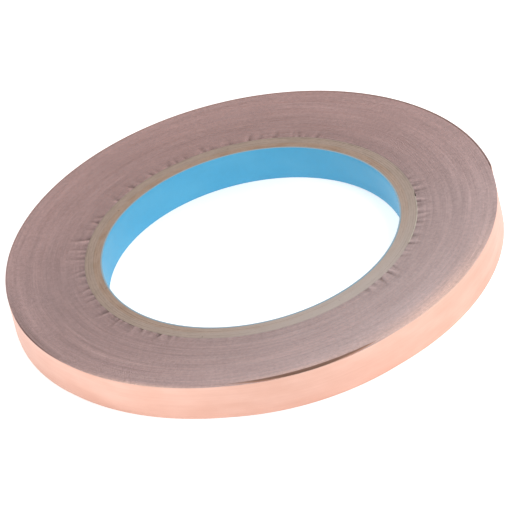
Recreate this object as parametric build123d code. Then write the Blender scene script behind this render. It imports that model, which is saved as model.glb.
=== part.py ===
"""A roll of adhesive-backed copper foil tape for stained glass, lying on its side.

The roll's axis is +Z. The origin is the centre of the core's bore, on the lower face.
The tape is three plies, from the inside out: release paper, adhesive and copper foil.
It winds outwards clockwise, seen from above, on a spirally wound paperboard core.
Each turn is two half circles: the near half (-Y) about the roll's axis, and the far
half (+Y) about a centre moved by half the pitch, so that the wall stays smooth.
Angles are degrees counter-clockwise from +X, seen from above. Lengths are millimetres.
"""

import os
from math import cos, degrees, pi, radians, sin, sqrt

from build123d import *

# Core, a paperboard tube cut off flush with the tape
bore_diameter = 76.2  # 3 in
lining_thickness = 0.40  # coloured paper that lines the bore
board_thickness = 0.625  # one ply of kraft board
board_plies = 6
wrap_thickness = 0.25  # smooth paper ply round the outside
seam_slant = 50.0  # between a ply's butted edges and the roll's face
lining_seam_gap = 0.10  # between the lining's butted edges
board_seam_gap = 0.35  # between a board ply's butted edges
lining_seam_angle = 30.0
seam_step = 155.0  # from one ply's seam to the next ply's

# Tape
tape_width = 9.525  # 3/8 in
tape_length = 32918.0  # 36 yd, with the loose end
release_thickness = 0.120
adhesive_thickness = 0.038
foil_thickness = 0.038  # 1.5 mil
turn_gap = 0.010  # air between a turn's foil and the next turn's release paper

# Strip of double-sided tape that holds the first turn to the core
starting_strip_thickness = 0.10
starting_strip_length = 20.0

# Loose outer turn: where it stands off the pack, half the stretch, and how far
stand_offs = [(276.0, 22.0, 0.65), (201.0, 15.0, 0.20)]
outer_turn_start_angle = -10.0
outer_turn_slack = 0.15  # more radius gained over its far half

# Loose end, which lifts about the fold where the outer turn stops
fold_angle = 35.0
loose_end_length = 33.0
fold_gap = 0.12  # between the outer turn and the loose end
peel_gap = 0.03  # between the loose end's adhesive and its release paper

# What follows is worked out from the sizes above
bore_radius = bore_diameter / 2
board_start = bore_radius + lining_thickness
wrap_start = board_start + board_plies * board_thickness
core_radius = wrap_start + wrap_thickness
tape_thickness = release_thickness + adhesive_thickness + foil_thickness
pitch = tape_thickness + turn_gap
first_radius = core_radius + starting_strip_thickness
mean_start = first_radius + tape_thickness / 2
turns = round((sqrt(mean_start**2 + pitch * tape_length / pi) - mean_start) / pitch)


def ring(inside, outside, seam_angle, seam_gap):
    """One ply of the core, with the slanted slit where its edges are butted."""
    ply = Cylinder(outside, tape_width, align=(Align.CENTER, Align.CENTER, Align.MIN))
    ply -= Cylinder(inside, tape_width, align=(Align.CENTER, Align.CENTER, Align.MIN))
    slit_length = 2 * tape_width / sin(radians(seam_slant))
    slit = Box(outside, slit_length, seam_gap, align=(Align.MIN, Align.CENTER, Align.CENTER))
    slit = Pos(bore_radius / 2, 0, tape_width / 2) * Rot(X=seam_slant) * slit
    return ply - Rot(Z=seam_angle) * slit


def half_turns(start, end, first, slack=0.0):
    """The path between two angles of winding, as arcs (x of centre, radius, start, end).

    The angle of winding is clockwise from +X, and a turn adds 360 to it. The radius is
    that of the tape's inner wall. The far half of the last turn gains the slack too.
    """
    arcs = []
    half = int(start // 180)
    while half * 180 < end - 1e-9:
        gained = (half // 2) * pitch
        centre = 0.0
        if half % 2:
            centre = (pitch + slack) / 2
            gained += centre
        stretch = (max(start, half * 180), min(end, half * 180 + 180))
        arcs.append((centre, 0.0, first + gained, *stretch))
        half += 1
    return arcs


def with_stand_offs(arcs):
    """The path with each stand-off put in: a tighter arc, joined by tangent lines."""
    out = []
    for x, y, radius, start, end in arcs:
        turn = start // 360 * 360
        places = sorted((turn + 360 - angle, half, rise) for angle, half, rise in stand_offs)
        for angle, half, rise in places:
            if not start < angle - half < angle + half < end:
                continue
            reach = cos(radians(half)) / (1 - cos(radians(half))) * rise
            shift = reach + rise
            bend_x = x + shift * cos(radians(-angle))
            bend_y = y + shift * sin(radians(-angle))
            out.append((x, y, radius, start, angle - half))
            out.append((bend_x, bend_y, radius - reach, angle - half, angle + half))
            start = angle + half
        out.append((x, y, radius, start, end))
    return out


def point(arc, offset, angle):
    """The point at an angle of winding, at an offset outwards from the path."""
    x, y, radius = arc[:3]
    reach = radius + offset
    return (x + reach * cos(radians(-angle)), y + reach * sin(radians(-angle)))


def wall(arcs, offset):
    """The edges of one wall of a ply, at an offset outwards from the path."""
    edges = []
    for arc, following in zip(arcs, arcs[1:] + [None]):
        x, y, radius, start, end = arc
        edges.append(CenterArc((x, y), radius + offset, -start, start - end))
        here = point(arc, offset, end)
        if following:
            there = point(following, offset, following[3])
            if (Vector(here) - Vector(there)).length > 1e-6:
                edges.append(Line(here, there))
    return edges


def ply(arcs, inside, outside):
    """A ply of tape that follows the path, between two offsets outwards from it."""
    start_edge = Line(point(arcs[0], inside, arcs[0][3]), point(arcs[0], outside, arcs[0][3]))
    end_edge = Line(point(arcs[-1], inside, arcs[-1][4]), point(arcs[-1], outside, arcs[-1][4]))
    outline = Wire([*wall(arcs, inside), end_edge, *wall(arcs, outside), start_edge])
    return extrude(Face(outline), tape_width, dir=(0, 0, 1))


def path_length(arcs):
    """The length of the tape's middle along the path, without the tangent lines."""
    return sum((arc[2] + tape_thickness / 2) * radians(arc[4] - arc[3]) for arc in arcs)


# Offsets of the plies' faces from the path, outwards
adhesive_start = release_thickness
foil_start = adhesive_start + adhesive_thickness
foil_end = foil_start + foil_thickness

# Angles of winding at which each length of the tape starts and ends
full_turns = 360.0 * (turns - 1)
outer_start = full_turns - outer_turn_start_angle
fold = full_turns + 360.0 - fold_angle
last_radius = first_radius + (turns - 1) * pitch + outer_turn_slack
tail_start = fold + degrees(fold_gap / last_radius)
tail_end = tail_start + degrees(loose_end_length / last_radius)

wound_path = half_turns(0.0, outer_start, first_radius)
outer_path = with_stand_offs(half_turns(outer_start, fold, first_radius, outer_turn_slack))
tail_path = half_turns(tail_start, tail_end, first_radius, outer_turn_slack)

pieces = {}

# Core
seam = lining_seam_angle
pieces["core_lining"] = ring(bore_radius, board_start, seam, lining_seam_gap)
for number in range(board_plies):
    seam += seam_step
    inside = board_start + number * board_thickness
    outside = inside + board_thickness
    pieces[f"core_board_ply_{number + 1}"] = ring(inside, outside, seam, board_seam_gap)
seam += seam_step
pieces["core_wrap"] = ring(wrap_start, core_radius, seam, board_seam_gap)

# Strip under the first turn
strip_path = [(0.0, 0.0, core_radius, 0.0, degrees(starting_strip_length / core_radius))]
pieces["starting_strip"] = ply(strip_path, 0.0, starting_strip_thickness)

# Tape, in three lengths: the wound pack, its loose outer turn, and the loose end
pieces["wound_release_paper"] = ply(wound_path, 0.0, adhesive_start)
pieces["wound_adhesive"] = ply(wound_path, adhesive_start, foil_start)
pieces["wound_copper_foil"] = ply(wound_path, foil_start, foil_end)
pieces["outer_turn_release_paper"] = ply(outer_path, 0.0, adhesive_start)
pieces["outer_turn_adhesive"] = ply(outer_path, adhesive_start, foil_start)
pieces["outer_turn_copper_foil"] = ply(outer_path, foil_start, foil_end)
pieces["loose_end_release_paper"] = ply(tail_path, 0.0, adhesive_start)
pieces["loose_end_adhesive"] = ply(tail_path, adhesive_start + peel_gap, foil_start + peel_gap)
pieces["loose_end_copper_foil"] = ply(tail_path, foil_start + peel_gap, foil_end + peel_gap)

os.makedirs("parts", exist_ok=True)
for name, piece in pieces.items():
    piece.label = name
    export_step(piece, f"parts/{name}.step")

made_length = sum(path_length(path) for path in (wound_path, outer_path, tail_path))
fold_x, fold_y = point(tail_path[0], foil_end + peel_gap, fold)
print(f"{turns} turns, {made_length:.0f} mm of tape")
print(f"core radius {core_radius:.3f}, fold axis at {fold_x:.4f}, {fold_y:.4f}")
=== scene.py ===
import math

import bpy
import numpy as np
from bpy.props import FloatProperty, FloatVectorProperty, IntProperty, PointerProperty
from mathutils import Matrix, Vector


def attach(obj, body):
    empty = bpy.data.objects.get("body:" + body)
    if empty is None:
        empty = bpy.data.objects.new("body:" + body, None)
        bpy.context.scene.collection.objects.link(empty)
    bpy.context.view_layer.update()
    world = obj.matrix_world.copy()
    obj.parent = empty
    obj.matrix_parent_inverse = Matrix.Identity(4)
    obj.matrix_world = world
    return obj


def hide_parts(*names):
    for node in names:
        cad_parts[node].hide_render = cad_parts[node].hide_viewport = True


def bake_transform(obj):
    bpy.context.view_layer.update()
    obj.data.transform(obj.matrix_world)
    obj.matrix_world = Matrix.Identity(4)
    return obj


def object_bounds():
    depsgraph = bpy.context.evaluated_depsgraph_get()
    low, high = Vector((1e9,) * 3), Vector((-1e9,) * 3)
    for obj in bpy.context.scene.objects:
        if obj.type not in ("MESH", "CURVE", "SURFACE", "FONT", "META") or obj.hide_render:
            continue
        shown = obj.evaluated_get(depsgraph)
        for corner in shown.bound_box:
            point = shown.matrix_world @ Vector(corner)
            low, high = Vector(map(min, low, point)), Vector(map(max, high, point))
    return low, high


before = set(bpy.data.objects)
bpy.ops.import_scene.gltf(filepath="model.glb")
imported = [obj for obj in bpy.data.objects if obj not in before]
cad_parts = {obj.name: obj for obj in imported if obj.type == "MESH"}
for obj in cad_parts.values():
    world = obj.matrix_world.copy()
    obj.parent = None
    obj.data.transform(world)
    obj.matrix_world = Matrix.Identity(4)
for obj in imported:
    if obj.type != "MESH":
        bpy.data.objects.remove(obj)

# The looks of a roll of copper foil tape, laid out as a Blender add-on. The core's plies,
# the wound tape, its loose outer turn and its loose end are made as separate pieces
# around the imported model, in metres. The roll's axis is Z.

bl_info = {
    "name": "Copper Foil Tape Roll",
    "version": (1, 0, 0),
    "blender": (4, 5, 0),
    "location": "View3D > Sidebar > Tape Roll",
    "description": "Makes the plies, finishes and stage of a roll of copper foil tape",
    "category": "Object",
}

MM = 0.001
FLOOR_DROP = 0.02 * MM  # the floor lies just under the roll
CAD_BOX = [list(corner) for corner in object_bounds()]


def inner_radius(node):
    """The radius of the smallest circle about the roll's axis that a ring node reaches."""
    rest = np.array([v.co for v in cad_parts[node].data.vertices])
    return float(np.hypot(rest[:, 0], rest[:, 1]).min())


def outer_radius(node):
    """The radius of the largest circle about the roll's axis that a ring node reaches."""
    rest = np.array([v.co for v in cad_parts[node].data.vertices])
    return float(np.hypot(rest[:, 0], rest[:, 1]).max())


BOARD_NODES = sorted(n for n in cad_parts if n.startswith("core_board_ply_"))
BORE_RADIUS = inner_radius("core_lining")
BOARD_START = outer_radius("core_lining")
WRAP_START = inner_radius("core_wrap")
CORE_RADIUS = outer_radius("core_wrap")
TAPE_WIDTH = CAD_BOX[1][2] - CAD_BOX[0][2]
FIRST_RADIUS = outer_radius("starting_strip")


# ---------------------------------------------------------------- sizes and colours


def metres(name, description, value):
    """A length in metres."""
    return FloatProperty(name=name, description=description, default=value, unit="LENGTH")


def degrees(name, description, value):
    """An angle, given in degrees."""
    return FloatProperty(
        name=name, description=description, default=math.radians(value), subtype="ANGLE"
    )


def whole(name, description, value, least):
    """A whole number with a least value."""
    return IntProperty(name=name, description=description, default=value, min=least)


def number(name, description, value):
    """A number without a unit."""
    return FloatProperty(name=name, description=description, default=value)


def numbers(name, description, value, **kind):
    """Three numbers, such as a place."""
    return FloatVectorProperty(name=name, description=description, default=value, **kind)


class CoreSizes(bpy.types.PropertyGroup):
    """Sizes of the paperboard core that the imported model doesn't give."""

    lining_seam: degrees("Lining seam", "Where the lining's edges meet, from +X", 30)
    seam_step: degrees("Seam step", "From one ply's seam to the next ply's", 155)
    seam_slant: degrees("Seam slant", "Between a seam and the roll's face", 50)
    lining_gap: metres("Lining gap", "Between the lining's butted edges", 0.03 * MM)
    board_gap: metres("Board gap", "Between a board ply's butted edges", 0.12 * MM)
    rounding: metres("Edge rounding", "Radius worn on the cut edges of each ply", 0.05 * MM)


class TapeSizes(bpy.types.PropertyGroup):
    """Sizes of the tape's plies and of the way it is wound."""

    release: metres("Release paper", "Thickness of the release paper", 0.120 * MM)
    adhesive: metres("Adhesive", "Thickness of the adhesive", 0.038 * MM)
    foil: metres("Copper foil", "Thickness of the foil", 0.038 * MM)
    gap: metres("Turn gap", "Air between one turn and the next", 0.010 * MM)
    turns: whole("Turns", "Turns of the wound pack", 98, 2)
    creased_turns: whole("Creased turns", "Turns next to the core that are finely divided", 24, 1)
    fine_points: whole("Fine points", "Points in a turn next to the core", 600, 12)
    coarse_points: whole("Coarse points", "Points in a turn further out", 108, 12)
    unevenness: metres(
        "Unevenness", "How far a turn's edge may lie below its neighbours'", 0.05 * MM
    )
    crease_depth: metres("Crease depth", "Depth of the deepest crease beside the core", 0.26 * MM)


class LooseSizes(bpy.types.PropertyGroup):
    """Sizes of the loose outer turn and the loose end."""

    start_angle: degrees("Outer turn start", "Where the outer turn leaves the pack, from +X", -10)
    slack: metres("Slack", "Radius that the outer turn gains over its far half", 0.15 * MM)
    near_stand_off: numbers(
        "Near stand-off", "Angle and half width in degrees, and rise in mm", (276.0, 22.0, 0.65)
    )
    side_stand_off: numbers(
        "Side stand-off", "Angle and half width in degrees, and rise in mm", (201.0, 15.0, 0.20)
    )
    join_angle: degrees("Join angle", "Where the fold strip takes over from the outer turn", 75)
    fold_angle: degrees("Fold angle", "Where the loose end starts to lift, from +X", 35)
    length: metres("Loose end", "Length of the loose end past the fold", 33.0 * MM)
    fold_gap: metres("Fold gap", "Between the outer turn and the loose end", 0.12 * MM)
    peel_gap: metres(
        "Peel gap", "Between the loose end's adhesive and its release paper", 0.03 * MM
    )
    bend: metres("Bend", "Half the length over which the loose end bends", 5.0 * MM)


def colour(name, description, value):
    """A colour that the finishes use."""
    return FloatVectorProperty(
        name=name, description=description, subtype="COLOR", default=value, min=0, max=1
    )


class Colours(bpy.types.PropertyGroup):
    """The colours of the finishes."""

    copper: colour("Copper", "Rolled face of the foil", (0.74, 0.445, 0.355))
    copper_light: colour("Copper light", "Brighter areas of the foil", (0.81, 0.525, 0.435))
    copper_dark: colour("Copper dark", "Rolling lines on the foil", (0.62, 0.35, 0.27))
    copper_edge: colour("Copper edge", "Slit edge of the foil", (0.62, 0.37, 0.32))
    # Partly painted shade: the release paper's own face colour, made darker so that it also stands
    # for the shade in the gap under the near stand-off
    release: colour("Release", "Face of the release paper", (0.36, 0.225, 0.175))
    release_edge: colour("Release edge", "Slit edge of the release paper", (0.345, 0.247, 0.249))
    adhesive: colour("Adhesive", "Clear adhesive over copper", (0.72, 0.44, 0.33))
    adhesive_light: colour("Adhesive light", "Thinner adhesive over copper", (0.8, 0.55, 0.42))
    adhesive_edge: colour(
        "Adhesive edge", "Slit edge of the adhesive, with paper dust on it", (0.28, 0.175, 0.17)
    )
    # Painted sheen: slit edges paler and greyer on the near side
    sheen_edge: colour("Frosted edge", "Slit edges under pale dust", (0.50, 0.415, 0.415))
    blushed_edge: colour(
        "Blushed edge", "Slit edges where the copper shows through", (0.80, 0.545, 0.455)
    )
    lining: colour("Lining", "Coated face of the lining of the core", (0.062, 0.37, 0.60))
    lining_light: colour("Lining light", "Paler areas of the lining", (0.10, 0.43, 0.645))
    lining_edge: colour("Lining edge", "Cut edge of the lining", (0.26, 0.36, 0.42))
    board_inner: colour("Board inner", "Board plies next to the bore", (0.35, 0.245, 0.185))
    board_inner_stain: colour("Board inner stain", "Stains on the inner board", (0.27, 0.16, 0.1))
    board_outer: colour("Board outer", "Board plies next to the tape", (0.345, 0.255, 0.205))
    board_outer_stain: colour("Board outer stain", "Stains on the outer board", (0.28, 0.21, 0.16))
    # Painted sheen: the board's cut edges paler on the near side
    sheen_board: colour("Frosted board", "Board under pale dust", (0.47, 0.41, 0.38))
    board_speck: colour("Board speck", "Specks in the board", (0.12, 0.08, 0.05))
    wrap: colour("Wrap", "Wrap ply of the core", (0.33, 0.25, 0.2))
    wrap_stain: colour("Wrap stain", "Stains on the wrap ply", (0.22, 0.16, 0.13))
    strip: colour("Strip", "Starting strip", (0.55, 0.5, 0.4))
    strip_light: colour("Strip light", "Thinner parts of the starting strip", (0.7, 0.66, 0.55))
    floor: colour("Floor", "Floor card", (0.86, 0.86, 0.86))
    # Painted glow: the floor card gives off light itself, with no lamp under it
    floor_glow: number("Floor glow", "Light that the floor card passes from below", 0.32)
    floor_light: colour("Floor light", "Paler tooth of the floor card", (0.9, 0.9, 0.9))


class StageSettings(bpy.types.PropertyGroup):
    """The floor, the lights and the camera."""

    floor_size: metres("Floor", "Side of the square floor", 6.0)
    surround: number("Surround", "Brightness of the white surroundings", 0.75)
    key_place: numbers("Key light", "Place of the key light", (0.38, -0.30, 0.55), unit="LENGTH")
    key_size: metres("Key size", "Width of the key light", 0.30)
    key_power: number("Key power", "Power of the key light, in watts", 2.0)
    fill_place: numbers("Fill light", "Place of the fill light", (-0.9, 1.4, 1.2), unit="LENGTH")
    fill_size: metres("Fill size", "Width of the fill light", 1.2)
    fill_power: number("Fill power", "Power of the fill light, in watts", 4.0)
    camera_down: degrees("Camera down", "How far the camera looks down", 34.141)
    camera_lean: degrees("Camera lean", "How far the camera leans to its side", 13.646)
    camera_offset: numbers(
        "Camera offset", "The roll's place seen from the camera: right, up, away",
        (0.000708, -0.002832, 1.862539), unit="LENGTH",
    )
    camera_lens: number("Lens", "Focal length in millimetres", 522.04)


def pitch_of(tape):
    """How far one turn lies from the next."""
    return tape.release + tape.adhesive + tape.foil + tape.gap


def sizes():
    """The property groups that every operator reads."""
    scene = bpy.context.scene
    return scene.roll_core, scene.roll_tape, scene.roll_loose, scene.roll_colours


# ---------------------------------------------------------------- shader node groups


def socket(group, name, kind, way, value=None):
    """One input or output of a node group."""
    made = group.interface.new_socket(name=name, in_out=way, socket_type=kind)
    if value is not None:
        made.default_value = value
    return made


def link(tree, start, end):
    """Join two sockets."""
    tree.links.new(start, end)


def maths(tree, operation, *values):
    """A Math node. A value is a number or another node's output."""
    node = tree.nodes.new("ShaderNodeMath")
    node.operation = operation
    for place, value in enumerate(values):
        if isinstance(value, (int, float)):
            node.inputs[place].default_value = value
        else:
            link(tree, value, node.inputs[place])
    return node.outputs[0]


def plus(tree, first, second):
    """The sum of two values."""
    return maths(tree, "ADD", first, second)


def minus(tree, first, second):
    """The first value less the second."""
    return maths(tree, "SUBTRACT", first, second)


def times(tree, first, second):
    """The product of two values."""
    return maths(tree, "MULTIPLY", first, second)


def smooth_range(tree, value, low, high, to_low=0.0, to_high=1.0):
    """A value mapped smoothly from one range to another."""
    node = tree.nodes.new("ShaderNodeMapRange")
    node.interpolation_type = "SMOOTHSTEP"
    for name, given in (
        ("Value", value), ("From Min", low), ("From Max", high),
        ("To Min", to_low), ("To Max", to_high),
    ):
        if isinstance(given, (int, float)):
            node.inputs[name].default_value = given
        else:
            link(tree, given, node.inputs[name])
    return node.outputs["Result"]


def mixed(tree, share, first, second, way="MIX"):
    """A colour mixed from two, by a share."""
    node = tree.nodes.new("ShaderNodeMix")
    node.data_type = "RGBA"
    node.blend_type = way
    for index, value in ((0, share), (6, first), (7, second)):
        if isinstance(value, (int, float)):
            node.inputs[index].default_value = value
        elif isinstance(value, bpy.types.NodeSocket):
            link(tree, value, node.inputs[index])
        else:
            node.inputs[index].default_value = (*value, 1.0)[:4]
    return node.outputs[2]


def noise(tree, vector, scale, detail=3.0, roughness=0.5):
    """The value of a noise texture."""
    node = tree.nodes.new("ShaderNodeTexNoise")
    link(tree, vector, node.inputs["Vector"])
    node.inputs["Scale"].default_value = scale
    node.inputs["Detail"].default_value = detail
    node.inputs["Roughness"].default_value = roughness
    return node.outputs["Fac"]


def new_group(name):
    """An empty shader node group with its input and output nodes."""
    group = bpy.data.node_groups.new(name, "ShaderNodeTree")
    return group, group.nodes.new("NodeGroupInput"), group.nodes.new("NodeGroupOutput")


def roll_noise():
    """Node group: a noise that follows the roll, with no seam round the axis.

    Round is how fast it changes round the roll, Radial and Height how fast with the
    radius and with the height, in changes per metre.
    """
    group, inputs, outputs = new_group("Roll noise")
    given = inputs.outputs
    for name, value in (
        ("Round", 1.0), ("Radial", 100.0), ("Height", 100.0), ("Detail", 3.0), ("Roughness", 0.5),
    ):
        socket(group, name, "NodeSocketFloat", "INPUT", value)
    socket(group, "Value", "NodeSocketFloat", "OUTPUT")
    place = group.nodes.new("ShaderNodeTexCoord")
    split = group.nodes.new("ShaderNodeSeparateXYZ")
    link(group, place.outputs["Object"], split.inputs[0])
    x, y, z = split.outputs
    square = plus(group, times(group, x, x), times(group, y, y))
    radius = maths(group, "SQRT", square)
    size = maths(group, "DIVIDE", given["Round"], radius)
    join = group.nodes.new("ShaderNodeCombineXYZ")
    link(group, times(group, x, size), join.inputs[0])
    link(group, times(group, y, size), join.inputs[1])
    across = times(group, radius, given["Radial"])
    up = times(group, z, given["Height"])
    link(group, plus(group, across, up), join.inputs[2])
    texture = group.nodes.new("ShaderNodeTexNoise")
    texture.inputs["Scale"].default_value = 1.0
    link(group, join.outputs[0], texture.inputs["Vector"])
    link(group, given["Detail"], texture.inputs["Detail"])
    link(group, given["Roughness"], texture.inputs["Roughness"])
    link(group, texture.outputs["Fac"], outputs.inputs["Value"])
    return group


def put_group(tree, group, **values):
    """A node group put into a tree, with its inputs set by name."""
    node = tree.nodes.new("ShaderNodeGroup")
    node.node_tree = group
    for name, value in values.items():
        node.inputs[name].default_value = value
    return node.outputs


def put_noise(tree, group, around, radial, height, detail=3.0, roughness=0.5):
    """The value of the roll noise, put into a tree."""
    return put_group(
        tree, group, Round=around, Radial=radial, Height=height, Detail=detail, Roughness=roughness
    )["Value"]


def cut_edge():
    """Node group: how far a face looks along the roll's axis, which its slit edges do."""
    group, inputs, outputs = new_group("Cut edge")
    socket(group, "Start", "NodeSocketFloat", "INPUT", 0.45)
    socket(group, "End", "NodeSocketFloat", "INPUT", 0.75)
    socket(group, "Mask", "NodeSocketFloat", "OUTPUT")
    facing = group.nodes.new("ShaderNodeNewGeometry")
    split = group.nodes.new("ShaderNodeSeparateXYZ")
    link(group, facing.outputs["True Normal"], split.inputs[0])
    up = maths(group, "ABSOLUTE", split.outputs[2])
    mask = smooth_range(group, up, inputs.outputs["Start"], inputs.outputs["End"])
    link(group, mask, outputs.inputs["Mask"])
    return group


def turn_dust(noise_group):
    """Node group: the dusty mottle and the faint lines round the roll's slit faces."""
    group, inputs, outputs = new_group("Turn dust")
    socket(group, "Lines", "NodeSocketFloat", "INPUT", 0.3)
    socket(group, "Mottle", "NodeSocketFloat", "INPUT", 0.3)
    socket(group, "Tone", "NodeSocketFloat", "OUTPUT")
    given = inputs.outputs
    thin = put_noise(group, noise_group, 2.4, 1900.0, 0.0, 3.0, 0.6)
    broad = put_noise(group, noise_group, 3.1, 480.0, 0.0, 2.0, 0.5)
    blocks = put_noise(group, noise_group, 75.0, 1300.0, 0.0, 3.0, 0.6)
    lines = minus(group, plus(group, thin, broad), 1.0)
    lines = times(group, lines, given["Lines"])
    mottle = times(group, minus(group, blocks, 0.5), given["Mottle"])
    both = plus(group, lines, times(group, mottle, 2.0))
    link(group, plus(group, both, 1.0), outputs.inputs["Tone"])
    return group


def paper_fibre(noise_group):
    """Node group: short fibres and specks of paper board."""
    group, inputs, outputs = new_group("Paper fibre")
    given = inputs.outputs
    for name, value in (("Round", 60.0), ("Radial", 4000.0), ("Height", 4000.0), ("Amount", 0.3)):
        socket(group, name, "NodeSocketFloat", "INPUT", value)
    socket(group, "Fibre", "NodeSocketFloat", "OUTPUT")
    socket(group, "Speck", "NodeSocketFloat", "OUTPUT")
    socket(group, "Relief", "NodeSocketFloat", "OUTPUT")
    layers = []
    for share, detail, roughness in ((1.0, 5.0, 0.65), (0.22, 2.0, 0.5), (2.3, 2.0, 0.7)):
        node = group.nodes.new("ShaderNodeGroup")
        node.node_tree = noise_group
        for name in ("Round", "Radial", "Height"):
            link(group, times(group, given[name], share), node.inputs[name])
        node.inputs["Detail"].default_value = detail
        node.inputs["Roughness"].default_value = roughness
        layers.append(node.outputs["Value"])
    threads, cloud, specks = layers
    both = maths(
        group, "ADD", times(group, threads, 1.3), times(group, cloud, 0.7)
    )
    change = times(group, minus(group, both, 1.0), given["Amount"])
    link(group, plus(group, change, 1.0), outputs.inputs["Fibre"])
    link(group, smooth_range(group, specks, 0.64, 0.72), outputs.inputs["Speck"])
    link(group, threads, outputs.inputs["Relief"])
    return group


# The floor's extra painted glow to each side of the roll, which brightens the copper band's
# reflection: start and end in metres, and its amount at each
LEFT_GLOW = (0.0, 0.055, 0.0, 0.65)
RIGHT_GLOW = (0.0, 0.05, 0.0, 0.62)


class Finishes:
    """The node groups, made once, and the materials that use them."""

    def __init__(self, colours):
        self.colours = colours
        self.noise = roll_noise()
        self.edge = cut_edge()
        self.dust = turn_dust(self.noise)
        self.fibre = paper_fibre(self.noise)

    def start(self, name, **fixed):
        """A material with a Principled shader whose plain sockets are set by name."""
        material = bpy.data.materials.new(name)
        material.use_nodes = True
        tree = material.node_tree
        shader = tree.nodes["Principled BSDF"]
        for socket_name, value in fixed.items():
            shader.inputs[socket_name.replace("_", " ")].default_value = value
        return material, tree, shader

    def noise_value(self, tree, *sizes_and_detail):
        """The roll noise in a material."""
        return put_noise(tree, self.noise, *sizes_and_detail)

    def edge_mask(self, tree):
        """The mask of the slit edges."""
        return put_group(tree, self.edge)["Mask"]

    def fibres(self, tree, around, radial, height, amount):
        """The paper fibre group's outputs."""
        return put_group(
            tree, self.fibre, Round=around, Radial=radial, Height=height, Amount=amount
        )

    def attribute(self, tree, name):
        """A value that the mesh carries."""
        node = tree.nodes.new("ShaderNodeAttribute")
        node.attribute_name = name
        return node.outputs["Fac"]

    def slit(self, tree, colour, blushed, lines, mottle):
        """The colour of a slit edge of the tape, with its dust, its turn's own tone, painted
        highlights and shade, and painted sheen.
        """
        dust = put_group(tree, self.dust, Lines=lines, Mottle=mottle)
        tone = times(tree, dust["Tone"], self.attribute(tree, "tone"))
        # Painted sheen, paler and greyer on the near side
        sheened = mixed(tree, self.attribute(tree, "painted_sheen"), colour, self.colours.sheen_edge)
        plain = mixed(tree, self.attribute(tree, "blush"), sheened, blushed)
        return mixed(tree, 1.0, plain, tone, "MULTIPLY")

    def bump(self, tree, shader, height, distance, strength=1.0):
        """A bump that feeds the shader's normal."""
        node = tree.nodes.new("ShaderNodeBump")
        node.inputs["Distance"].default_value = distance
        node.inputs["Strength"].default_value = strength
        link(tree, height, node.inputs["Height"])
        link(tree, node.outputs[0], shader.inputs["Normal"])

    def blend_value(self, tree, share, first, second):
        """A number mixed from two, by a share."""
        node = tree.nodes.new("ShaderNodeMix")
        link(tree, share, node.inputs[0])
        for index, value in ((2, first), (3, second)):
            if isinstance(value, (int, float)):
                node.inputs[index].default_value = value
            else:
                link(tree, value, node.inputs[index])
        return node.outputs[0]

    def copper(self, name):
        """Bare rolled copper: satin, with fine rolling lines along the tape and soft stains."""
        material, tree, shader = self.start(name)
        rolling = self.noise_value(tree, 1.2, 0.0, 2600.0, 4.0, 0.65)
        soft = self.noise_value(tree, 5.0, 0.0, 220.0, 3.0, 0.55)
        lighter = smooth_range(tree, soft, 0.2, 0.8)
        face = mixed(tree, lighter, self.colours.copper, self.colours.copper_light)
        face = mixed(
            tree, smooth_range(tree, rolling, 0.35, 0.75, 0.0, 0.10), face, self.colours.copper_dark
        )
        edge = self.edge_mask(tree)
        cut = self.slit(tree, self.colours.copper_edge, self.colours.blushed_edge, 0.34, 0.32)
        link(tree, mixed(tree, edge, face, cut), shader.inputs["Base Color"])
        rough = maths(
            tree, "ADD", smooth_range(tree, rolling, 0.3, 0.7, 0.36, 0.46),
            times(tree, soft, 0.06),
        )
        link(tree, self.blend_value(tree, edge, rough, 0.5), shader.inputs["Roughness"])
        link(tree, self.blend_value(tree, edge, 1.0, 0.35), shader.inputs["Metallic"])
        height = plus(tree, times(tree, rolling, 0.35), soft)
        self.bump(tree, shader, height, 0.00003, 0.5)
        return material

    def release(self, name):
        """Silicone-coated paper: half matt on its faces, dusty mauve with painted sheen where it
        was slit.
        """
        material, tree, shader = self.start(name)
        fibre = self.fibres(tree, 60.0, 5200.0, 5200.0, 0.25)
        face = mixed(tree, 1.0, self.colours.release, fibre["Fibre"], "MULTIPLY")
        cut = self.slit(tree, self.colours.release_edge, self.colours.blushed_edge, 0.34, 0.34)
        edge = self.edge_mask(tree)
        link(tree, mixed(tree, edge, face, cut), shader.inputs["Base Color"])
        link(tree, self.blend_value(tree, edge, 0.38, 0.62), shader.inputs["Roughness"])
        self.bump(tree, shader, fibre["Relief"], 0.00002, 0.5)
        return material

    def adhesive(self, name):
        """Clear acrylic adhesive: glossy on its face, dull with dust and painted sheen where it was
        slit.
        """
        material, tree, shader = self.start(name)
        cloud = self.noise_value(tree, 40.0, 1500.0, 1500.0, 3.0, 0.6)
        face = mixed(
            tree, smooth_range(tree, cloud, 0.35, 0.7, 0.0, 0.4), self.colours.adhesive,
            self.colours.adhesive_light,
        )
        cut = self.slit(tree, self.colours.adhesive_edge, self.colours.blushed_edge, 0.34, 0.32)
        edge = self.edge_mask(tree)
        link(tree, mixed(tree, edge, face, cut), shader.inputs["Base Color"])
        link(tree, self.blend_value(tree, edge, 0.16, 0.55), shader.inputs["Roughness"])
        self.bump(tree, shader, cloud, 0.00003, 0.6)
        return material

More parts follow.
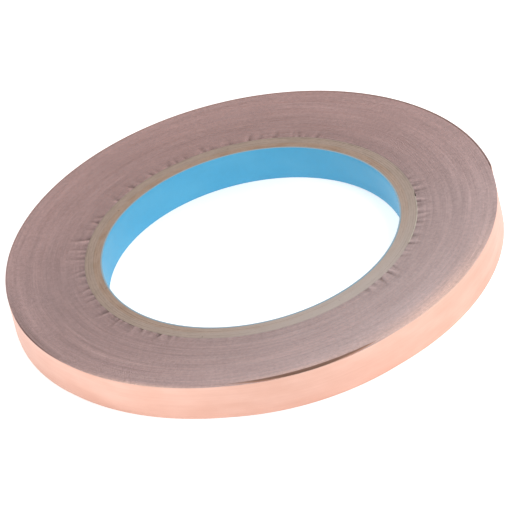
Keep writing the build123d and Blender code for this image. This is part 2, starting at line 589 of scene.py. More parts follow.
    def lining(self, name):
        """Light blue coated paper, with a pale cut edge."""
        material, tree, shader = self.start(name)
        fibre = self.fibres(tree, 30.0, 900.0, 900.0, 0.12)
        soft = self.noise_value(tree, 3.0, 0.0, 160.0, 2.0, 0.5)
        face = mixed(tree, 1.0, self.colours.lining, fibre["Fibre"], "MULTIPLY")
        lighter = smooth_range(tree, soft, 0.3, 0.8, 0.0, 0.4)
        face = mixed(tree, lighter, face, self.colours.lining_light)
        paler = mixed(tree, 1.0, self.colours.lining_edge, fibre["Fibre"], "MULTIPLY")
        link(tree, mixed(tree, self.edge_mask(tree), face, paler), shader.inputs["Base Color"])
        rough = smooth_range(tree, fibre["Relief"], 0.2, 0.8, 0.42, 0.55)
        link(tree, rough, shader.inputs["Roughness"])
        self.bump(tree, shader, fibre["Relief"], 0.00003, 0.4)
        return material

    def board(self, name, colour, stain, amount=0.45):
        """Kraft board: short fibres along the ply, dark specks and a rough cut edge."""
        material, tree, shader = self.start(name)
        fibre = self.fibres(tree, 110.0, 7000.0, 4000.0, amount)
        broad = self.noise_value(tree, 7.0, 500.0, 200.0, 3.0, 0.6)
        tone = mixed(tree, 1.0, colour, fibre["Fibre"], "MULTIPLY")
        tone = mixed(tree, smooth_range(tree, broad, 0.42, 0.72, 0.0, 0.6), tone, stain)
        # Painted sheen: the board paler on the near side
        tone = mixed(tree, self.attribute(tree, "painted_sheen"), tone, self.colours.sheen_board)
        specked = times(tree, fibre["Speck"], 0.6)
        tone = mixed(tree, specked, tone, self.colours.board_speck)
        link(tree, tone, shader.inputs["Base Color"])
        rough = smooth_range(tree, fibre["Relief"], 0.2, 0.8, 0.78, 0.95)
        link(tree, rough, shader.inputs["Roughness"])
        self.bump(tree, shader, fibre["Relief"], 0.00008, 0.7)
        return material

    def strip(self, name):
        """Double-sided tape: clear yellowish film."""
        material, tree, shader = self.start(name)
        cloud = self.noise_value(tree, 20.0, 800.0, 800.0, 3.0, 0.6)
        tone = mixed(tree, cloud, self.colours.strip, self.colours.strip_light)
        link(tree, tone, shader.inputs["Base Color"])
        link(tree, smooth_range(tree, cloud, 0.3, 0.7, 0.2, 0.35), shader.inputs["Roughness"])
        return material

    def floor(self, name):
        """Plain pale card with a very faint tooth, which glows by itself as painted light, more
        beside the roll to the left and the right.
        """
        material, tree, shader = self.start(
            name, Emission_Strength=self.colours.floor_glow
        )
        place = tree.nodes.new("ShaderNodeTexCoord")
        grain = noise(tree, place.outputs["Object"], 60.0, 2.0)
        tone = mixed(tree, grain, self.colours.floor, self.colours.floor_light)
        link(tree, tone, shader.inputs["Base Color"])
        link(tree, smooth_range(tree, grain, 0.3, 0.7, 0.85, 0.95), shader.inputs["Roughness"])
        split = tree.nodes.new("ShaderNodeSeparateXYZ")
        link(tree, place.outputs["Object"], split.inputs[0])
        leftwards = times(tree, split.outputs[0], -1.0)
        left = smooth_range(tree, leftwards, *LEFT_GLOW)
        right = smooth_range(tree, split.outputs[0], *RIGHT_GLOW)
        glow = plus(tree, plus(tree, left, right), 1.0)
        link(tree, glow, shader.inputs["Emission Color"])
        return material


_made = {}


def finish(kind):
    """A finish by name, made the first time it is asked for."""
    colours = sizes()[3]
    if "finishes" not in _made:
        _made["finishes"] = Finishes(colours)
    if kind not in _made:
        shop = _made["finishes"]
        makers = {
            "copper_foil": lambda: shop.copper("Copper foil"),
            "release_paper": lambda: shop.release("Release paper"),
            "adhesive": lambda: shop.adhesive("Adhesive"),
            "lining_paper": lambda: shop.lining("Lining paper"),
            "kraft_board_inner": lambda: shop.board(
                "Inner board", colours.board_inner, colours.board_inner_stain),
            "kraft_board_outer": lambda: shop.board(
                "Outer board", colours.board_outer, colours.board_outer_stain),
            "wrap_paper": lambda: shop.board("Wrap paper", colours.wrap, colours.wrap_stain, 0.3),
            "starting_tape": lambda: shop.strip("Starting tape"),
            "floor": lambda: shop.floor("Floor card"),
        }
        _made[kind] = makers[kind]()
    return _made[kind]


# ---------------------------------------------------------------- shapes


def sweep(name, path, normals, profile):
    """A closed solid: a profile of (offset, height) points, swept along a flat path.

    path and normals are N by 2 arrays, or N by P by 2 where the path leans with height.
    """
    count, around = len(path), len(profile)
    offsets = np.array([p[0] for p in profile])
    heights = np.array([p[1] for p in profile])
    if path.ndim == 2:
        path = np.repeat(path[:, None, :], around, axis=1)
        normals = np.repeat(normals[:, None, :], around, axis=1)
    points = np.empty((count, around, 3))
    points[..., :2] = path + normals * offsets[None, :, None]
    points[..., 2] = heights[None, :]
    row = np.arange(around)
    following = (row + 1) % around
    faces = []
    for i in range(count - 1):
        here, there = i * around, (i + 1) * around
        for a, b in zip(row, following):
            faces.append((here + a, there + a, there + b, here + b))
    faces.append(tuple(int(k) for k in row))
    faces.append(tuple(int((count - 1) * around + k) for k in row[::-1]))
    mesh = bpy.data.meshes.new(name)
    mesh.from_pydata(points.reshape(-1, 3).tolist(), [], faces)
    mesh.validate()
    if mesh_volume(mesh) < 0:
        mesh.flip_normals()
    mesh.update()
    piece = bpy.data.objects.new(name, mesh)
    bpy.context.scene.collection.objects.link(piece)
    return piece


def mesh_volume(mesh):
    """The signed volume of a closed mesh, which is negative if it is inside out."""
    mesh.calc_loop_triangles()
    points = np.array([v.co for v in mesh.vertices])
    corners = np.array([t.vertices for t in mesh.loop_triangles])
    a, b, c = (points[corners[:, k]] for k in range(3))
    return float(np.einsum("ij,ij->i", a, np.cross(b, c)).sum() / 6)


def dress(piece, kind, smooth_angle=40.0):
    """Give a piece its finish and smooth shading up to an angle."""
    piece.data.materials.clear()
    piece.data.materials.append(finish(kind))
    piece.data.polygons.foreach_set("use_smooth", [True] * len(piece.data.polygons))
    piece.data.set_sharp_from_angle(angle=math.radians(smooth_angle))
    return piece


def rounded(inside, outside, low, high, rounding):
    """A ply's outline from its inner to its outer wall, with rounded corners."""
    corners = []
    for x, z, start in (
        (inside + rounding, low + rounding, 180), (outside - rounding, low + rounding, 270),
        (outside - rounding, high - rounding, 0), (inside + rounding, high - rounding, 90),
    ):
        for step in (0, 45, 90):
            turn = math.radians(start + step)
            corners.append((x + rounding * math.cos(turn), z + rounding * math.sin(turn)))
    return corners


def divided(profile, rows):
    """The profile with its two long upright sides divided into rows."""
    out = []
    for (x, z), (next_x, next_z) in zip(profile, profile[1:] + profile[:1]):
        out.append((x, z))
        if abs(next_z - z) > 20 * abs(next_x - x):
            for row in range(1, rows):
                out.append((x + (next_x - x) * row / rows, z + (next_z - z) * row / rows))
    return out


RING_POINTS = 360
# How far each ply's cut end lies below the roll's face, from the lining out
CORE_DROPS = tuple(drop * MM for drop in (0.03, 0.06, 0.05, 0.09, 0.07, 0.05, 0.08, 0.06))
CORE_LOW = 0.02 * MM
CUT_GRAIN = 0.010 * MM
CUT_WAVE = 0.008 * MM
CORE_ROWS = 6
RIBBON_ROWS = 8
WAVES = ((1, 0.9, 0.2), (2, 1.7, 1.1), (3, 0.8, 2.9), (5, 2.6, 4.0))


def core_ply(name, inside, outside, seam, gap, low, high, seed):
    """One ply of the core: a ring that opens at a slanted seam, with a ragged cut."""
    core = sizes()[0]
    profile = divided(rounded(inside, outside, low, high, core.rounding), CORE_ROWS)
    heights = np.array([z for _, z in profile])
    middle = (low + high) / 2
    lean = (heights - middle) / math.tan(core.seam_slant) / inside
    opening = gap / math.sin(core.seam_slant) / inside
    share = np.linspace(0, 1, RING_POINTS)
    angles = seam + lean[None, :] + opening / 2 + share[:, None] * (2 * math.pi - opening)
    normals = np.stack([np.cos(angles), np.sin(angles)], axis=-1)
    piece = sweep(name, normals * 0.0, normals, profile)
    points = np.array([v.co for v in piece.data.vertices])
    rough = np.random.default_rng(seed).normal(0, 1, len(points))
    turn = np.arctan2(points[:, 1], points[:, 0])
    wave = sum(
        np.sin(order * turn + phase + seed) * size for order, size, phase in WAVES
    )
    at_top = points[:, 2] > high - 2 * core.rounding
    at_bottom = points[:, 2] < low + 2 * core.rounding
    drop = CUT_GRAIN * np.abs(rough) + CUT_WAVE * (wave + 4)
    points[:, 2] += np.where(at_bottom, drop, 0) - np.where(at_top, drop, 0)
    put_points(piece.data, points)
    # Painted sheen: the cut edges paler on the near side
    carry(piece, "painted_sheen", painted_sheen(np.degrees(turn)))
    return piece


# Each crease beside the core: its angle, strength, half width in degrees and reach in mm
DEEP_CREASES = (
    (158.0, 1.5, 0.75, 6.5), (164.0, 0.9, 0.6, 7.0), (169.5, 0.8, 0.7, 7.6), (176.0, 0.7, 0.6, 6.4),
    (149.0, 0.9, 0.6, 4.6), (312.5, 1.2, 0.6, 5.8), (316.5, 1.4, 0.55, 6.4), (320.0, 0.9, 0.5, 5.0),
    (98.0, 1.1, 0.7, 4.6), (112.0, 1.0, 0.6, 4.4), (118.0, 1.0, 0.6, 4.2), (230.0, 1.0, 0.6, 4.0),
    (306.0, 0.8, 0.6, 4.0), (333.0, 0.9, 0.6, 4.2), (345.0, 0.9, 0.7, 5.0),
    (350.5, 0.8, 0.7, 5.6), (357.0, 1.0, 0.6, 5.2), (3.5, 1.1, 0.7, 5.6), (9.0, 0.9, 0.6, 5.2),
    (59.0, 1.0, 0.6, 4.4), (65.0, 1.0, 0.6, 4.0), (74.0, 1.0, 0.7, 4.6), (83.0, 1.0, 0.6, 4.4),
    (89.0, 0.9, 0.6, 4.0), (127.0, 1.0, 0.7, 4.6), (135.0, 0.9, 0.6, 4.8), (204.0, 1.0, 0.7, 5.0),
    (211.0, 1.0, 0.6, 4.8), (218.0, 0.9, 0.7, 4.6),
)
QUIET_STRETCHES = ((16.0, 56.0), (238.0, 302.0))

# Painted highlights and shadows round the face: lines where turns stand proud or sink, a shadow
# line between the outermost turns, and broad patches lighter to the near right and darker to the
# left. Radius and half width in mm, angle and half length, change of tone
PAINTED_LIGHT_MARKS = (
    (55.6, 0.30, 219, 14, 0.22), (59.6, 0.45, 189, 12, 0.20), (53.4, 0.22, 210, 12, 0.18),
    (58.2, 0.22, 232, 14, 0.14), (50.5, 0.30, 200, 18, -0.12), (57.0, 0.25, 150, 16, -0.10),
    (61.9, 0.70, 198, 24, -0.30), (60.6, 0.35, 160, 30, -0.10), (59.0, 0.25, 320, 22, 0.12),
    (56.4, 0.25, 300, 20, -0.10), (54.6, 0.25, 20, 24, 0.10), (60.2, 0.30, 80, 30, -0.08),
    (53.0, 12.0, 190, 70, -0.09), (61.0, 6.0, 318, 38, 0.09), (58.0, 9.0, 80, 50, 0.04),
)
# Stretches where the outer turns lie over and their copper shows: angle, half length, depth in mm
BLUSHES = ((236, 20, 1.2), (276, 24, 2.8), (312, 30, 5.5))
RIM = 62.9
BLUSH_CURVE = 1.3
BLUSH_SHARE = 0.85
TURN_TONE = 0.045
# Painted highlight on the creases' ridges and painted shade in their grooves, beside the core
RIDGE_HIGHLIGHT = 0.28
GROOVE_SHADE = 0.34
SINK_RISE = 0.15
# Where the outermost turns sink beside the near stand-off: angle, half length, start radius, depth
SINK = (276.0, 17.0, 62.0, 1.6)
# Painted sheen, paler and greyer on the near side: its share, its angle and its half length
NEAR_SHEEN = 0.70
NEAR_SHEEN_PLACE = (300.0, 82.0)
# Painted shade over the face, radius in mm and tone: darker towards the core and lighter towards
# the rim
FACE_SHADING = ((42.5, 0.86), (44.5, 0.93), (52.0, 1.0), (60.0, 1.10), (63.5, 1.10))


def near(angle, place, half):
    """1 at an angle in degrees, falling smoothly to 0 a half length away."""
    off = np.abs((angle - place + 180) % 360 - 180) / half
    return np.exp(-2.0 * off * off)


def crease_list():
    """All the creases beside the core, the deep ones and the many small ones."""
    random = np.random.default_rng(11)
    listed = list(DEEP_CREASES)
    at = 1.0
    while at < 358:
        quiet = any(low < at < high for low, high in QUIET_STRETCHES)
        strength = random.uniform(0.25, 1.0) * (0.22 if quiet else 1.0)
        listed.append((at, strength, random.uniform(0.45, 0.85), random.uniform(2.8, 5.4)))
        at += random.uniform(2.8, 5.6)
    return [(*crease, random.uniform(-0.5, 0.5)) for crease in listed]


def creases(degree, radius):
    """Groove and ridge shares, at places on the roll's face, of the creases by the core."""
    groove = np.zeros_like(radius)
    ridge = np.zeros_like(radius)
    out = (radius - CORE_RADIUS) / MM
    for place, strength, width, reach, skew in crease_list():
        off = (degree - place - skew * out + 180) % 360 - 180
        fade = np.clip(1 - out / reach, 0, 1)
        fade = strength * fade * fade * (3 - 2 * fade)
        groove += fade * np.exp(-((off / width) ** 2))
        ridge += fade * np.exp(-(((off - 1.9 * width) / (1.1 * width)) ** 2))
    return np.minimum(groove, 1.6), np.minimum(ridge, 1.6)


def turn_tones(degree, radius, pitch):
    """Each turn's own tone, which changes slowly along it."""
    random = np.random.default_rng(5)
    steps = 24
    table = random.normal(0, 1, (140, steps + 1))
    table[:, -1] = table[:, 0]
    table = 0.6 * table + 0.4 * random.normal(0, 1, (140, 1))
    turn = np.clip(((radius - CORE_RADIUS) / pitch).astype(int), 0, 139)
    at = (degree % 360) / 360 * steps
    low = at.astype(int)
    share = at - low
    return table[turn, low] * (1 - share) + table[turn, low + 1] * share


def carry(piece, name, values):
    """Write a value for each point onto a piece."""
    attribute = piece.data.attributes.new(name, "FLOAT", "POINT")
    attribute.data.foreach_set("value", values.astype(np.float32))


def painted_sheen(degree):
    """How much painted sheen lies on the slit edges, which is most on the near side."""
    return NEAR_SHEEN * near(degree, *NEAR_SHEEN_PLACE)


def tint(piece, pitch, creased=True):
    """Write the tone with its painted highlights and shade, the blush and the painted sheen of the
    slit edges onto a piece's points.
    """
    points = mesh_points(piece.data)
    radius = np.hypot(points[:, 0], points[:, 1])
    degree = np.degrees(np.arctan2(points[:, 1], points[:, 0]))
    # Painted shade: the face darker towards the core, lighter towards the rim
    at, values = zip(*FACE_SHADING)
    tone = np.interp(radius / MM, at, values)
    tone += TURN_TONE * turn_tones(degree, radius, pitch)
    # Painted highlights and shadows along lines and patches of the face
    for place, width, angle, half, change in PAINTED_LIGHT_MARKS:
        tone += change * np.exp(-(((radius / MM - place) / width) ** 2)) * near(degree, angle, half)
    if creased:
        groove, ridge = creases(degree, radius)
        # Painted shade in the crease grooves and painted highlight on their ridges
        tone += RIDGE_HIGHLIGHT * ridge - GROOVE_SHADE * groove
    blush = np.zeros_like(tone)
    for angle, half, depth in BLUSHES:
        rise = np.clip(1 - (RIM - radius / MM) / depth, 0, 1) ** BLUSH_CURVE
        blush = np.maximum(blush, near(degree, angle, half) * rise)
    carry(piece, "tone", np.clip(tone, 0.3, 1.8))
    carry(piece, "blush", BLUSH_SHARE * blush)
    # Painted sheen, most on the near side
    carry(piece, "painted_sheen", painted_sheen(degree))


def mesh_points(mesh):
    """A mesh's points as an array."""
    points = np.empty(len(mesh.vertices) * 3)
    mesh.vertices.foreach_get("co", points)
    return points.reshape(-1, 3)


def put_points(mesh, points):
    """Move a mesh's points."""
    mesh.vertices.foreach_set("co", points.ravel())
    mesh.update()


# ---------------------------------------------------------------- the wound plies


def winding_tree():
    """Geometry nodes: one ply wound as a spiral, finely divided next to the core.

    A turn is two half circles. The near half is about the roll's axis, and the far half
    about a centre moved by half the pitch.
    """
    tree = bpy.data.node_groups.new("Wound ply", "GeometryNodeTree")
    socket(tree, "Geometry", "NodeSocketGeometry", "INPUT")
    for name, value in (
        ("Fine Turns", 24), ("Fine Points", 600), ("Coarse Turns", 74),
        ("Coarse Points", 108), ("Last Points", 3),
    ):
        socket(tree, name, "NodeSocketInt", "INPUT", value)
    for name in ("First Radius", "Pitch", "Thickness", "Width", "Middle Height"):
        socket(tree, name, "NodeSocketFloat", "INPUT", 1.0)
    socket(tree, "Finish", "NodeSocketMaterial", "INPUT")
    socket(tree, "Geometry", "NodeSocketGeometry", "OUTPUT")
    given = tree.nodes.new("NodeGroupInput").outputs
    result = tree.nodes.new("NodeGroupOutput")
    fine_count = times(tree, given["Fine Turns"], given["Fine Points"])
    coarse_count = times(tree, given["Coarse Turns"], given["Coarse Points"])
    count = plus(tree, plus(tree, fine_count, coarse_count), given["Last Points"])
    line = tree.nodes.new("GeometryNodeMeshLine")
    link(tree, plus(tree, count, 1.0), line.inputs["Count"])
    curve = tree.nodes.new("GeometryNodeMeshToCurve")
    link(tree, line.outputs[0], curve.inputs["Mesh"])
    index = tree.nodes.new("GeometryNodeInputIndex").outputs[0]
    fine = maths(tree, "DIVIDE", maths(tree, "MINIMUM", index, fine_count), given["Fine Points"])
    beyond = maths(tree, "MAXIMUM", minus(tree, index, fine_count), 0.0)
    turn = plus(tree, fine, maths(tree, "DIVIDE", beyond, given["Coarse Points"]))
    full = maths(tree, "FLOOR", plus(tree, turn, 0.0001))
    far = maths(tree, "GREATER_THAN", minus(tree, turn, full), 0.4999)
    shift = times(tree, times(tree, far, 0.5), given["Pitch"])
    gained = plus(tree, times(tree, full, given["Pitch"]), shift)
    radius = plus(tree, given["First Radius"], gained)
    radius = plus(tree, radius, times(tree, given["Thickness"], 0.5))
    angle = times(tree, turn, -2 * math.pi)
    place = tree.nodes.new("ShaderNodeCombineXYZ")
    across = times(tree, radius, maths(tree, "COSINE", angle))
    link(tree, plus(tree, across, shift), place.inputs[0])
    link(tree, times(tree, radius, maths(tree, "SINE", angle)), place.inputs[1])
    link(tree, given["Middle Height"], place.inputs[2])
    put = tree.nodes.new("GeometryNodeSetPosition")
    link(tree, curve.outputs[0], put.inputs["Geometry"])
    link(tree, place.outputs[0], put.inputs["Position"])
    upright = tree.nodes.new("GeometryNodeSetCurveNormal")
    upright.mode = "Z_UP"
    link(tree, put.outputs[0], upright.inputs["Curve"])
    section = tree.nodes.new("GeometryNodeCurvePrimitiveQuadrilateral")
    link(tree, given["Thickness"], section.inputs["Width"])
    link(tree, given["Width"], section.inputs["Height"])
    swept = tree.nodes.new("GeometryNodeCurveToMesh")
    link(tree, upright.outputs[0], swept.inputs["Curve"])
    link(tree, section.outputs[0], swept.inputs["Profile Curve"])
    swept.inputs["Fill Caps"].default_value = True
    whole = tree.nodes.new("GeometryNodeRealizeInstances")
    link(tree, swept.outputs[0], whole.inputs[0])
    painted = tree.nodes.new("GeometryNodeSetMaterial")
    link(tree, whole.outputs[0], painted.inputs["Geometry"])
    link(tree, given["Finish"], painted.inputs["Material"])
    link(tree, painted.outputs[0], result.inputs[0])
    return tree


def wound_ply(name, tree, values):
    """One wound ply made by the geometry nodes, as a plain mesh."""
    carrier = bpy.data.objects.new(name, bpy.data.meshes.new(name + "_carrier"))
    bpy.context.scene.collection.objects.link(carrier)
    modifier = carrier.modifiers.new("Winding", "NODES")
    modifier.node_group = tree
    for item in tree.interface.items_tree:
        if item.in_out == "INPUT" and item.name in values:
            modifier[item.identifier] = values[item.name]
    bpy.context.view_layer.update()
    evaluated = carrier.evaluated_get(bpy.context.evaluated_depsgraph_get())
    mesh = bpy.data.meshes.new_from_object(evaluated)
    mesh.name = name
    bpy.data.objects.remove(carrier)
    piece = bpy.data.objects.new(name, mesh)
    bpy.context.scene.collection.objects.link(piece)
    if mesh_volume(mesh) < 0:
        mesh.flip_normals()
    return piece


def settle_edges(piece, inset, seed):
    """Make the slit edges of a wound ply uneven, and sink them in the creases."""
    tape = sizes()[1]
    points = mesh_points(piece.data)
    radius = np.hypot(points[:, 0], points[:, 1])
    degree = np.degrees(np.arctan2(points[:, 1], points[:, 0]))
    pitch = pitch_of(tape)
    groove, ridge = creases(degree, radius)
    uneven = 0.5 + 0.18 * np.clip(turn_tones(degree + seed * 40, radius, pitch), -2.5, 2.5)
    drop = inset + tape.unevenness * np.clip(uneven, 0, 1)
    drop_top = drop + tape.crease_depth * np.clip(groove + 0.15 - 0.4 * ridge, 0, None)
    angle, half, start, depth = SINK
    share = np.clip((radius / MM - start) / SINK_RISE, 0, 1)
    drop_top += depth * MM * share * near(degree, angle, half)
    top = points[:, 2] > TAPE_WIDTH / 2
    points[:, 2] = np.where(top, TAPE_WIDTH - drop_top, drop)
    put_points(piece.data, points)


# ---------------------------------------------------------------- the loose outer turn


PATH_END = 400.0  # an angle of winding past the loose end


def half_turns(start, end, slack):
    """Arcs of the last turn: x and y of the centre, inner radius, start and end angle.

    Angles of winding are in degrees, clockwise from +X. The far half gains the slack.
    """
    tape = sizes()[1]
    pitch = pitch_of(tape) / MM
    arcs = []
    half = int(start // 180)
    while half * 180 < end - 1e-9:
        gained = tape.turns * pitch
        centre = 0.0
        if half % 2:
            centre = (pitch + slack / MM) / 2
            gained += centre
        arcs.append(
            (
                centre, 0.0, FIRST_RADIUS / MM + gained,
                max(start, half * 180), min(end, half * 180 + 180),
            )
        )
        half += 1
    return arcs


def with_stand_offs(arcs, stand_offs):
    """The path with each stand-off put in as a tighter arc, joined by tangent lines."""
    out = []
    for x, y, radius, start, end in arcs:
        for angle, half, rise in sorted((360 - a, h, r) for a, h, r in stand_offs):
            if not start < angle - half < angle + half < end:
                continue
            reach = math.cos(math.radians(half)) / (1 - math.cos(math.radians(half))) * rise
            shift = reach + rise
            bend_x = x + shift * math.cos(math.radians(-angle))
            bend_y = y + shift * math.sin(math.radians(-angle))
            out.append((x, y, radius, start, angle - half))
            out.append((bend_x, bend_y, radius - reach, angle - half, angle + half))
            start = angle + half
        out.append((x, y, radius, start, end))
    return out


def outer_path(start, end, step=0.5):
    """Points, outward normals and angles of winding along the last turn, in metres."""
    loose = sizes()[2]
    stand_offs = [tuple(loose.near_stand_off), tuple(loose.side_stand_off)]
    arcs = half_turns(-math.degrees(loose.start_angle), PATH_END, loose.slack)
    arcs = with_stand_offs(arcs, stand_offs)
    points, normals, angles = [], [], []
    for x, y, radius, low, high in arcs:
        low, high = max(low, start), min(high, end)
        if high - low < 1e-6:
            continue
        for angle in np.linspace(low, high, max(2, int(round((high - low) / step)) + 1)):
            turn = math.radians(-angle)
            normal = (math.cos(turn), math.sin(turn))
            here = (x + radius * normal[0], y + radius * normal[1])
            if points and math.dist(points[-1], here) < 1e-4:
                continue
            points.append(here)
            normals.append(normal)
            angles.append(angle)
    return np.array(points) * MM, np.array(normals), np.array(angles)


BOX_MARGIN = 0.001 * MM
FOLD_EASE = 3.0  # degrees each side of the fold over which the foil leaves its backing
PLIES = ("release_paper", "adhesive", "copper_foil")


def ply_walls():
    """The inner and outer wall of each ply, as offsets outwards from the tape's path."""
    tape = sizes()[1]
    adhesive_start = tape.release
    foil_start = adhesive_start + tape.adhesive
    return {
        "release_paper": (0.0, adhesive_start),
        "adhesive": (adhesive_start, foil_start),
        "copper_foil": (foil_start, foil_start + tape.foil),
    }


def ribbon(name, kind, start, end, inset, fold=None):
    """One ply of the last turn, between two angles of winding.

    Past the fold, the adhesive and the foil stand off the release paper by the peel gap.
    """
    tape, loose = sizes()[1:3]
    path, normals, angles = outer_path(start, end)
    inside, outside = ply_walls()[kind]
    if fold is not None and kind != "release_paper":
        share = np.clip((angles - fold + FOLD_EASE) / (2 * FOLD_EASE), 0, 1)
        share = share * share * (3 - 2 * share)
        path = path + normals * (share * loose.peel_gap)[:, None]
    rounding = min(0.3 * (outside - inside), 0.02 * MM)
    profile = divided(rounded(inside, outside, inset, TAPE_WIDTH - inset, rounding), RIBBON_ROWS)
    piece = sweep(name, path, normals, profile)
    low, high = np.array(CAD_BOX)
    put_points(piece.data, np.clip(mesh_points(piece.data), low + BOX_MARGIN, high - BOX_MARGIN))
    dress(piece, kind)
    tint(piece, pitch_of(tape), creased=False)
    return piece


# ---------------------------------------------------------------- operators


INSETS = {"release_paper": 0.050 * MM, "adhesive": 0.080 * MM, "copper_foil": 0.035 * MM}


# Winding angles where the wrap's wall is clear of the starting strip and of the first turn
SWELL_RANGE = (29.0, 359.0)
SWELL_EASE = (4.0, 2.0)
SWELL_AIR = 0.015 * MM


def swell(piece):
    """Let the wrap ply's outer wall swell up to the first turn, past the starting strip."""
    tape = sizes()[1]
    pitch = pitch_of(tape)
    points = mesh_points(piece.data)
    radius = np.hypot(points[:, 0], points[:, 1])
    turn = np.arctan2(points[:, 1], points[:, 0])
    wound = np.degrees(-turn) % 360
    rise = FIRST_RADIUS - CORE_RADIUS + np.where(wound > 180, pitch / 2 * (1 + np.cos(turn)), 0)
    low, high = SWELL_RANGE
    clear = np.clip((wound - low) / SWELL_EASE[0], 0, 1)
    clear *= np.clip((high - wound) / SWELL_EASE[1], 0, 1)
    outer = radius > CORE_RADIUS - 0.1 * MM
    grown = np.where(outer, radius + clear * (rise - SWELL_AIR), radius)
    points[:, :2] *= (grown / radius)[:, None]
    put_points(piece.data, points)


class ROLL_OT_core(bpy.types.Operator):
    """Make the core: its blue lining, six plies of board and a wrap ply"""

    bl_idname = "roll.core"
    bl_label = "Core"

    def execute(self, context):
        """Make each ply, with its slanted seam, and put it on the roll."""
        core = sizes()[0]
        walls = [BOARD_START + (WRAP_START - BOARD_START) * k / len(BOARD_NODES) for k in range(7)]
        plies = [("core_lining", "lining_paper", BORE_RADIUS, BOARD_START, core.lining_gap)]
        for number, node in enumerate(BOARD_NODES):
            kind = "kraft_board_inner" if number < 3 else "kraft_board_outer"
            plies.append((node, kind, walls[number], walls[number + 1], core.board_gap))
        plies.append(("core_wrap", "wrap_paper", WRAP_START, CORE_RADIUS, core.board_gap))
        for number, (node, kind, inside, outside, gap) in enumerate(plies):
            seam = core.lining_seam + number * core.seam_step
            top = TAPE_WIDTH - CORE_DROPS[number]
            piece = core_ply(node + "_visual", inside, outside, seam, gap, CORE_LOW, top, number)
            if node == "core_wrap":
                swell(piece)
            dress(piece, kind)
            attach(piece, "roll")
            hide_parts(node)
        return {"FINISHED"}


class ROLL_OT_winding(bpy.types.Operator):
    """Wind the release paper, the adhesive and the copper foil onto the core"""

    bl_idname = "roll.winding"
    bl_label = "Wound tape"

    def execute(self, context):
        """Make each wound ply with geometry nodes, then settle its slit edges."""
        tape = sizes()[1]
        tree = winding_tree()
        pitch = pitch_of(tape)
        last = round(math.degrees(-sizes()[2].start_angle) / 360 * tape.coarse_points)
        for seed, kind in enumerate(PLIES):
            inside, outside = ply_walls()[kind]
            piece = wound_ply("wound_" + kind + "_visual", tree, {
                "Fine Turns": tape.creased_turns, "Fine Points": tape.fine_points,
                "Coarse Turns": tape.turns - tape.creased_turns,
                "Coarse Points": tape.coarse_points, "Last Points": last,
                "First Radius": FIRST_RADIUS + inside, "Pitch": pitch,
                "Thickness": outside - inside, "Width": TAPE_WIDTH - 2 * INSETS[kind],
                "Middle Height": TAPE_WIDTH / 2, "Finish": finish(kind),
            })
            settle_edges(piece, INSETS[kind], seed)
            tint(piece, pitch)
            dress(piece, kind, 30.0)
            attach(piece, "roll")
            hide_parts("wound_" + kind)
        return {"FINISHED"}


class ROLL_OT_starting_strip(bpy.types.Operator):
    """Finish the strip of double-sided tape under the first turn"""

    bl_idname = "roll.starting_strip"
    bl_label = "Starting strip"

    def execute(self, context):
        """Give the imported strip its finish."""
        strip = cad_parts["starting_strip"]
        strip.data.materials.clear()
        strip.data.materials.append(finish("starting_tape"))
        return {"FINISHED"}


class ROLL_OT_outer_turn(bpy.types.Operator):
    """Lay the loose outer turn round the pack, with its two stand-offs"""

    bl_idname = "roll.outer_turn"
    bl_label = "Outer turn"

    def execute(self, context):
        """Make the three plies of the outer turn."""
        loose = sizes()[2]
        start = -math.degrees(loose.start_angle)
        end = 360 - math.degrees(loose.join_angle)
        for kind in PLIES:
            piece = ribbon("outer_turn_" + kind + "_visual", kind, start, end, INSETS[kind])
            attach(piece, "roll")
            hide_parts("outer_turn_" + kind)
        return {"FINISHED"}


class ROLL_OT_loose_end(bpy.types.Operator):
    """Make the loose end, whose adhesive and foil stand off the release paper past the fold"""

    bl_idname = "roll.loose_end"
    bl_label = "Loose end"

    def execute(self, context):
        """Make the three plies across the fold and blend them over it."""
        loose = sizes()[2]
        start = 360 - math.degrees(loose.join_angle)
        fold = 360 - math.degrees(loose.fold_angle)
        centre, _, radius = half_turns(start, PATH_END, loose.slack)[0][:3]
        gap = math.degrees(loose.fold_gap / (radius * MM))
        end = fold + gap + math.degrees(loose.length / (radius * MM))
        for kind in PLIES:
            piece = ribbon("loose_end_" + kind + "_visual", kind, start, end, INSETS[kind], fold)
            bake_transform(piece)
            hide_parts("loose_end_" + kind)
        return {"FINISHED"}


class ROLL_OT_stage(bpy.types.Operator):
    """Set the floor, the lights and the camera"""

    bl_idname = "roll.stage"
    bl_label = "Stage"

    def execute(self, context):
        """Make the pale floor, the soft lights and the camera."""
        scene = context.scene
        scene.view_settings.view_transform = "Standard"
        stage = scene.roll_stage
        mesh = bpy.data.meshes.new("floor")
        s = stage.floor_size / 2
        mesh.from_pydata([(-s, -s, 0), (s, -s, 0), (s, s, 0), (-s, s, 0)], [], [(0, 1, 2, 3)])
        floor = bpy.data.objects.new("floor", mesh)
        floor.location.z = -FLOOR_DROP
        mesh.materials.append(finish("floor"))
        scene.collection.objects.link(floor)
        world = bpy.data.worlds.new("Studio")
        scene.world = world
        world.use_nodes = True
        sky = world.node_tree.nodes["Background"]
        sky.inputs["Color"].default_value = (1, 1, 1, 1)
        sky.inputs["Strength"].default_value = stage.surround
        for name, place, size, power in (
            ("Key", stage.key_place, stage.key_size, stage.key_power),
            ("Fill", stage.fill_place, stage.fill_size, stage.fill_power),
        ):
            lamp = bpy.data.lights.new(name, "AREA")
            lamp.shape = "DISK"
            lamp.size = size
            lamp.energy = power
            holder = bpy.data.objects.new(name, lamp)
            holder.location = place
            holder.rotation_euler = (-Vector(place)).to_track_quat("-Z", "Y").to_euler()
            scene.collection.objects.link(holder)
        set_camera(scene, stage)
        return {"FINISHED"}


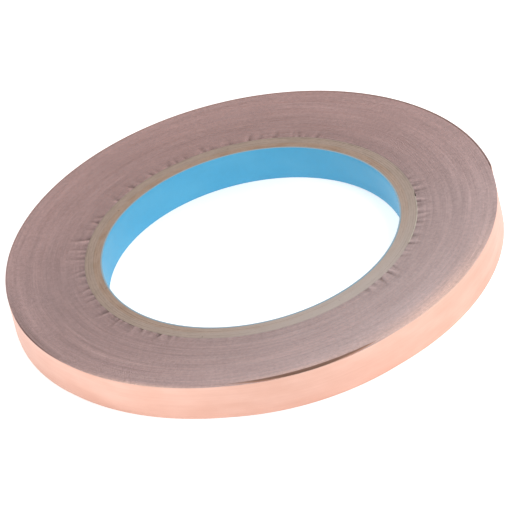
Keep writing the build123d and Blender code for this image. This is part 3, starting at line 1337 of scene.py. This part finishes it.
def set_camera(scene, stage):
    """Put the camera where it looks down at the roll, with a slight roll of its own."""
    down, lean = stage.camera_down, stage.camera_lean
    right = Vector((1, 0, 0))
    forward = Vector((0, math.cos(down), -math.sin(down)))
    up = Vector((0, math.sin(down), math.cos(down)))
    leant_right = right * math.cos(lean) - up * math.sin(lean)
    leant_up = right * math.sin(lean) + up * math.cos(lean)
    across, above, away = stage.camera_offset
    place = -(leant_right * across + leant_up * above + forward * away)
    camera = bpy.data.cameras.new("Camera")
    camera.lens = stage.camera_lens
    camera.sensor_width = 36.0
    camera.clip_end = 100.0
    holder = bpy.data.objects.new("Camera", camera)
    turn = Matrix((leant_right, leant_up, -forward)).transposed().to_4x4()
    holder.matrix_world = Matrix.Translation(place) @ turn
    scene.collection.objects.link(holder)
    scene.camera = holder


class ROLL_PT_panel(bpy.types.Panel):
    """Sidebar panel that lists the pieces of the roll"""

    bl_idname = "ROLL_PT_panel"
    bl_label = "Tape Roll"
    bl_space_type = "VIEW_3D"
    bl_region_type = "UI"
    bl_category = "Tape Roll"

    def draw(self, context):
        """List the operators in the order they are used."""
        for operator in OPERATORS:
            self.layout.operator(operator.bl_idname)


OPERATORS = (
    ROLL_OT_core, ROLL_OT_winding, ROLL_OT_starting_strip, ROLL_OT_outer_turn,
    ROLL_OT_loose_end, ROLL_OT_stage,
)
GROUPS = {
    "roll_core": CoreSizes, "roll_tape": TapeSizes, "roll_loose": LooseSizes,
    "roll_colours": Colours, "roll_stage": StageSettings,
}


def register():
    """Register the sizes, the operators and the panel."""
    for name, group in GROUPS.items():
        bpy.utils.register_class(group)
        setattr(bpy.types.Scene, name, PointerProperty(type=group))
    for operator in OPERATORS:
        bpy.utils.register_class(operator)
    bpy.utils.register_class(ROLL_PT_panel)


def unregister():
    """Take the panel, the operators and the sizes away again."""
    bpy.utils.unregister_class(ROLL_PT_panel)
    for operator in reversed(OPERATORS):
        bpy.utils.unregister_class(operator)
    for name, group in GROUPS.items():
        delattr(bpy.types.Scene, name)
        bpy.utils.unregister_class(group)


def main():
    """Make every piece."""
    register()
    bpy.ops.roll.core()
    bpy.ops.roll.winding()
    bpy.ops.roll.starting_strip()
    bpy.ops.roll.outer_turn()
    bpy.ops.roll.loose_end()
    bpy.ops.roll.stage()


if __name__ == "__main__":
    main()
